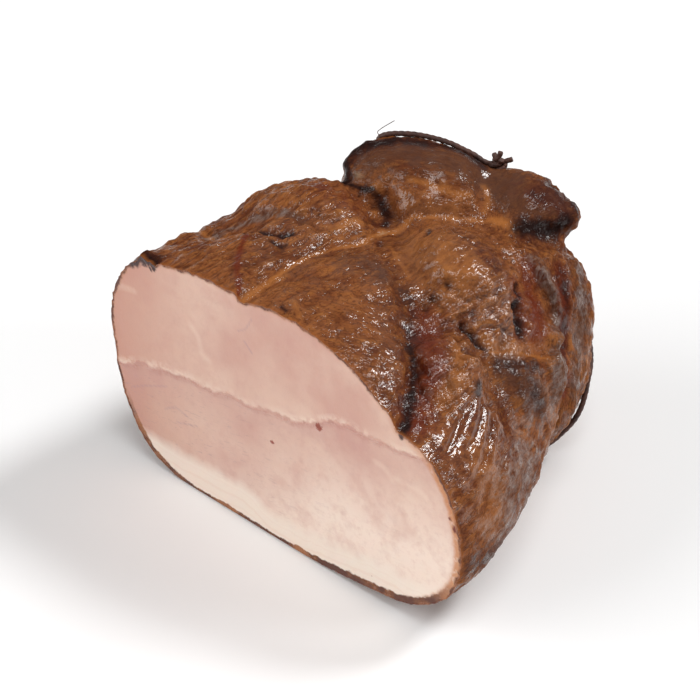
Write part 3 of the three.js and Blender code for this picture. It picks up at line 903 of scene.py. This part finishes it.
# The cut face: pale moist meat, with the fat under the rind, the seam and the smoke's brown edge. Its x and
# z are in metres, and its distances from the rim and the lines are in millimetres.
cut_material, tree, shader = new_material("sliced_meat")
spot = put(tree, "ShaderNodeTexCoord").outputs["Object"]
xyz = put(tree, "ShaderNodeSeparateXYZ", {"Vector": spot}).outputs
x, z = xyz["X"], xyz["Z"]
cloud = noisy(tree, spot, 26.0)
mottle = noisy(tree, spot, 110.0, detail=4.0)
fine = noisy(tree, spot, 420.0, detail=4.0, roughness=0.6)
grainy = noisy(tree, spot, 1100.0, detail=2.0)
wander = times(tree, maths(tree, "SUBTRACT", mottle, 0.5), 7.0)
jagged = added(tree, times(tree, wander, 0.3), maths(tree, "SUBTRACT", fine, 0.5), 2.5)

seam = maths(tree, "ADD", read(tree, "seam"), wander)
stripe = times(tree, ranged(tree, seam, -1.0, -2.0), ranged(tree, seam, -22.0, -3.0),
               ranged(tree, mottle, 0.3, 0.6, 0.5, 1.0))
# the darker groove below the seam: partly painted shadow under the seam's step, and wetter
groove = times(tree, ranged(tree, seam, -4.5, -2.4), ranged(tree, seam, -0.3, -1.2))
ribbon = times(tree, ranged(tree, seam, -2.0, -0.2), ranged(tree, seam, 2.6, 0.0),
               ranged(tree, mottle, 0.36, 0.56, 0.1, 1.0), ranged(tree, fine, 0.36, 0.56))
paler = times(tree, ranged(tree, seam, -10.0, -46.0), ranged(tree, x, -0.055, 0.02))

streaky = put(tree, "ShaderNodeMapping", {
    "Vector": spot, "Rotation": (0, math.radians(-12), 0), "Scale": (5 * MM, 5 * MM, 0.8 * MM),
}, vector_type="TEXTURE").outputs[0]
wisps = noisy(tree, streaky, 1.0, detail=3.0, distortion=1.2)
wisps = times(tree, ranged(tree, wisps, 0.60, 0.68), ranged(tree, seam, 0.0, -6.0),
              ranged(tree, x, 0.03, -0.03, 0.2, 1.0))

fat = added(tree, read(tree, "fat"), wander, 0.7)
fat_layers = noisy(tree, put(tree, "ShaderNodeCombineXYZ", {"X": fat}).outputs[0], 0.3, detail=2.0)
fat_layers = times(tree, ranged(tree, fat_layers, 0.5, 0.62), ranged(tree, fat, 0.5, -0.5))

rim_gap = maths(tree, "ADD", read(tree, "rim"), jagged)
glow = maths(tree, "DIVIDE", rim_gap, ranged(tree, x, 0.045, 0.08, 2.2, 5.0))
tan_rim = times(tree, ranged(tree, rim_gap, 4.0, 2.5), ranged(tree, x, 0.062, 0.074),
                ranged(tree, fine, 0.30, 0.5))
rind_width = added(tree, ranged(tree, x, -0.06, 0.03, 2.8, 3.4), wander, 0.6)
rind = ranged(tree, maths(tree, "SUBTRACT", rim_gap, rind_width), 0.4, -0.3)
rind = times(tree, rind, ranged(tree, z, 0.030, 0.016))
rind = maths(tree, "MAXIMUM", rind, ranged(tree, rim_gap, 1.4, 0.6))
rind_colour = mixed(tree, ranged(tree, mottle, 0.4, 0.62), (0.10, 0.025, 0.011), (0.33, 0.12, 0.04))
burnt = ranged(tree, added(tree, read(tree, "char_and_shade"), fine, 0.9), 1.05, 1.35)
burnt = times(tree, burnt, ranged(tree, rim_gap, 4.5, 3.0))

meat = mixed(tree, ranged(tree, cloud, 0.38, 0.62), (0.61, 0.355, 0.285), (0.71, 0.485, 0.385))
meat = layered(tree, meat, {
    "paler at the lower right": (paler, 0.0, 1.0, 1.0, (0.86, 0.69, 0.585)),
    "deeper pink at the left": (x, -0.035, -0.085, 0.9, (0.545, 0.26, 0.19)),
    "mottling": (mottle, 0.5, 0.68, 0.3, (0.57, 0.30, 0.25)),
    "fine mottling": (fine, 0.5, 0.72, 0.22, (0.55, 0.30, 0.25)),
    "moist stripe": (stripe, 0.0, 1.0, 0.5, (0.53, 0.29, 0.26)),
    "dark wisps": (wisps, 0.0, 1.0, 0.4, (0.40, 0.24, 0.24)),
    "pale veins": (added(tree, read(tree, "pale_vein"), mottle, 1.6), 2.8, 0.9, 0.32, (0.82, 0.64, 0.52)),
    "bruised veins": (read(tree, "bruised_vein"), 0.8, 0.2, 0.4, (0.40, 0.24, 0.27)),
    # darker pink below the seam, partly painted shadow under the seam's step
    "groove and painted shadow below the seam": (
        times(tree, groove, ranged(tree, fine, 0.35, 0.6, 0.4, 1.0)), 0.0, 1.0, 0.55, (0.50, 0.23, 0.18)),
    "fat of the seam": (ribbon, 0.0, 1.0, 0.6, (0.84, 0.67, 0.55)),
    "fat under the rind": (fat, 3.0, -2.5, 0.85, (0.87, 0.745, 0.64)),
    "layers in the fat": (fat_layers, 0.0, 1.0, 0.2, (0.74, 0.50, 0.39)),
    "glow of the smoke": (glow, 1.0, 0.2, 0.5, (0.56, 0.25, 0.13)),
    "tan rim at the right": (tan_rim, 0.0, 1.0, 0.8, (0.52, 0.20, 0.065)),
    "rind": (rind, 0.0, 1.0, 1.0, rind_colour),
    "burnt corner": (burnt, 0.0, 1.0, 1.0, (0.048, 0.014, 0.012)),
    "red spot on the rim": (read(tree, "red"), 0.5, 0.8, 1.0, (0.16, 0.022, 0.010)),
    "specks of blood": (
        added(tree, read(tree, "speck"), grainy, 1.4), 1.9, 1.5, 1.0, (0.30, 0.07, 0.045)),
})
moist = maths(tree, "MAXIMUM", groove, rind)
dry = ranged(tree, mottle, 0.35, 0.65, 0.34, 0.5)
soft = bumped(tree, grainy, 0.4, 0.25)
wavy = bumped(tree, times(tree, fine, maths(tree, "ADD", moist, 0.3)), 0.5, 0.6, soft)
stepped = bumped(tree, ranged(tree, seam, -3.0, 0.0), 0.35, 0.6, wavy)
fill(tree, shader, {
    "Base Color": meat,
    "Roughness": added(tree, dry, moist, -0.15),
    "Specular IOR Level": 0.35,
    "Subsurface Weight": 0.2,
    "Subsurface Radius": (1.0, 0.45, 0.3),
    "Subsurface Scale": 2.5 * MM,
    "Normal": stepped,
})
ham.data.materials.append(cut_material)
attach(ham, "root")
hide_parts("ham")

# The twine: smoked three-ply butcher's twine, tied in one loop round the rear end with a small hard knot
# on the crown, where both cut ends stand up. A loose fibre curls from it at the crown's left end.
TWINE_RADIUS = 1.1
TWINE_SEAT = 0.25  # height of the centre line above the skin that it presses into
TWINE_STEPS = 78
LOWEST_TWINE = 1.4
TWINE_SIDES = 18
PLIES = 3
TWIST = 7.5  # length of one turn of the plies
PLY_RIDGE = 0.2
UNEVENNESS = 0.05
UNEVEN_LENGTH = 2.5
FIRST_SIDE = (0.3, 0.2, 0.9)  # any way that no cord starts along
FIBRE_RADIUS = 0.16
TWINE_DARK = (0.035, 0.012, 0.008)
TWINE_LIGHT = (0.10, 0.036, 0.022)
KNOT = np.array([-4.5, 126.5, 104])
KNOT_CORD_RADIUS = 0.95
TWINE_GUIDES = [
    (-2, 125.5, 107.5), (-4.5, 126.5, 104), (-8.5, 123.4, 104.4), (-12.4, 121.6, 106.8),
    (-17, 120.2, 108.3), (-22, 118.7, 109.5), (-28, 116.5, 110.1), (-35, 113.3, 110.3),
    (-41, 109.7, 109.7), (-45, 107, 108.8), (-49, 108, 103), (-51.5, 108.5, 93), (-52, 107, 76),
    (-52, 103, 58), (-49, 99, 40), (-44, 95.5, 24), (-36, 92, 11), (-24, 89.5, 4), (-5, 88.5, 2),
    (18, 90, 1.5), (32, 92, 2.5), (38, 97, 4), (43, 104, 7), (46, 109, 11.5), (48, 113, 16),
    (49, 115.5, 21), (49, 117.8, 26.5), (48.3, 119.9, 33.1), (43.5, 124.5, 38.5), (36, 130, 47),
    (27, 134, 58), (17, 134, 68), (8, 133, 79), (0, 133, 89), (-4, 131.5, 96), (-5.5, 129.5, 100),
    (-4.5, 126.5, 104), (-8, 128, 106.5),
]
STUBS = [
    [(-5.5, 126, 105), (-4.6, 127, 107.2), (-4.4, 127.6, 109)],
    [(-3.5, 127, 105), (-1.6, 128.4, 105.8), (-0.2, 129.6, 106.6)],
]
LOOSE_FIBRE = [
    (-44.2, 107.6, 109), (-46.2, 106.2, 108.3), (-47.6, 106.4, 109), (-47.8, 108, 109.4),
    (-46.9, 110.2, 110.4), (-45.8, 112.2, 111.4), (-45.1, 113.4, 112),
]


def centripetal_line(points, pieces):
    """Points along a curve that passes through uneven points without loops or overshoot."""
    points = [np.array(p, float) for p in points]
    ends = [2 * points[0] - points[1], *points, 2 * points[-1] - points[-2]]
    line = []
    for a, b, c, d in zip(ends, ends[1:], ends[2:], ends[3:]):
        ab, bc, cd = (math.sqrt(np.linalg.norm(q - p)) for p, q in ((a, b), (b, c), (c, d)))
        leave = bc * ((b - a) / ab - (c - a) / (ab + bc)) + c - b
        arrive = bc * ((d - c) / cd - (d - b) / (bc + cd)) + c - b
        square = 3 * (c - b) - 2 * leave - arrive
        cube = leave + arrive - 2 * (c - b)
        for k in range(pieces):
            t = k / pieces
            line.append(b + t * (leave + t * (square + t * cube)))
    return np.array(line + [points[-1]])


def spaced(line, count):
    """The same line as a number of points with equal gaps."""
    gone = np.concatenate([[0], np.cumsum(np.linalg.norm(np.diff(line, axis=0), axis=1))])
    stops = np.linspace(0, gone[-1], count)
    return np.stack([np.interp(stops, gone, line[:, axis]) for axis in range(3)], axis=1)


def add_cord(bm, line, radius, sides, plies, end_width=1.0):
    """A closed tube bent along a line, with the ridges of its twisted plies."""
    before = len(bm.verts)
    bmesh.ops.create_cone(bm, cap_ends=True, segments=sides, radius1=1, radius2=1, depth=1)
    bm.verts.ensure_lookup_table()
    made = bm.verts[before:]
    lengthways = {e for v in made for e in v.link_edges if abs(e.verts[0].co.z - e.verts[1].co.z) > 0.5}
    bmesh.ops.subdivide_edges(bm, edges=list(lengthways), cuts=len(line) - 2)
    bm.verts.ensure_lookup_table()
    along = np.gradient(line, axis=0)
    along /= np.linalg.norm(along, axis=1)[:, None]
    sideways = [np.cross(along[0], FIRST_SIDE)]
    for way in along:
        side = sideways[-1] - way * (sideways[-1] @ way)
        sideways.append(side / np.linalg.norm(side))
    sideways = sideways[1:]
    step = np.linalg.norm(np.diff(line, axis=0), axis=1).mean()
    for v in bm.verts[before:]:
        i = round((v.co.z + 0.5) * (len(line) - 1))
        angle = math.atan2(v.co.y, v.co.x)
        twist = 2 * math.pi * i * step / TWIST
        ridge = 1 - PLY_RIDGE + PLY_RIDGE * abs(math.cos(plies / 2 * (angle - twist))) if plies else 1
        at_end = end_width if i in (0, len(line) - 1) else 1
        r = radius * ridge * at_end * (1 + UNEVENNESS * noise.noise(Vector(line[i]) / UNEVEN_LENGTH))
        upwards = np.cross(along[i], sideways[i])
        v.co = line[i] + r * (math.cos(angle) * sideways[i] + math.sin(angle) * upwards)


route = spaced(centripetal_line(TWINE_GUIDES, pieces=12), TWINE_STEPS + 1)
for _ in range(4):
    sunk = TWINE_SEAT - skin_distance(route)
    way, size = slope(route, 0.5)
    route += way * np.maximum(sunk, 0)[:, None]
route[:, 2] = np.maximum(route[:, 2], LOWEST_TWINE)
route = centripetal_line(route, pieces=10)

bm = bmesh.new()
add_cord(bm, route, TWINE_RADIUS, TWINE_SIDES, PLIES, end_width=0.8)
for stub in STUBS:
    add_cord(bm, centripetal_line(stub, pieces=5), TWINE_RADIUS, TWINE_SIDES, PLIES, end_width=0.85)

# the knot is a trefoil of the same cord, pulled tight
turns = np.linspace(0, 4 * math.pi, 90)
tangle = np.stack([
    (2 + np.cos(1.5 * turns)) * np.cos(turns),
    (2 + np.cos(1.5 * turns)) * np.sin(turns),
    np.sin(1.5 * turns),
], axis=1)
add_cord(bm, KNOT + tangle, KNOT_CORD_RADIUS, TWINE_SIDES, PLIES)
add_cord(bm, centripetal_line(LOOSE_FIBRE, pieces=6), FIBRE_RADIUS, sides=5, plies=0, end_width=0.4)
for face in bm.faces:
    face.smooth = len(face.verts) == 4
bmesh.ops.transform(bm, matrix=to_frame, verts=bm.verts[:])
twine = finished(bm, "tied_twine")

twine_material, tree, shader = new_material("smoked_twine")
spot = put(tree, "ShaderNodeTexCoord").outputs["Object"]
soaked = ranged(tree, noisy(tree, spot, 180.0, roughness=0.5), 0.35, 0.65)
hairs = noisy(tree, spot, 1600.0, detail=2.0, roughness=0.5)
fill(tree, shader, {
    "Base Color": mixed(tree, soaked, TWINE_DARK, TWINE_LIGHT),
    "Roughness": 0.6,
    "Normal": bumped(tree, hairs, 0.6, 0.2),
})
twine.data.materials.append(twine_material)
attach(twine, "root")
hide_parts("twine")
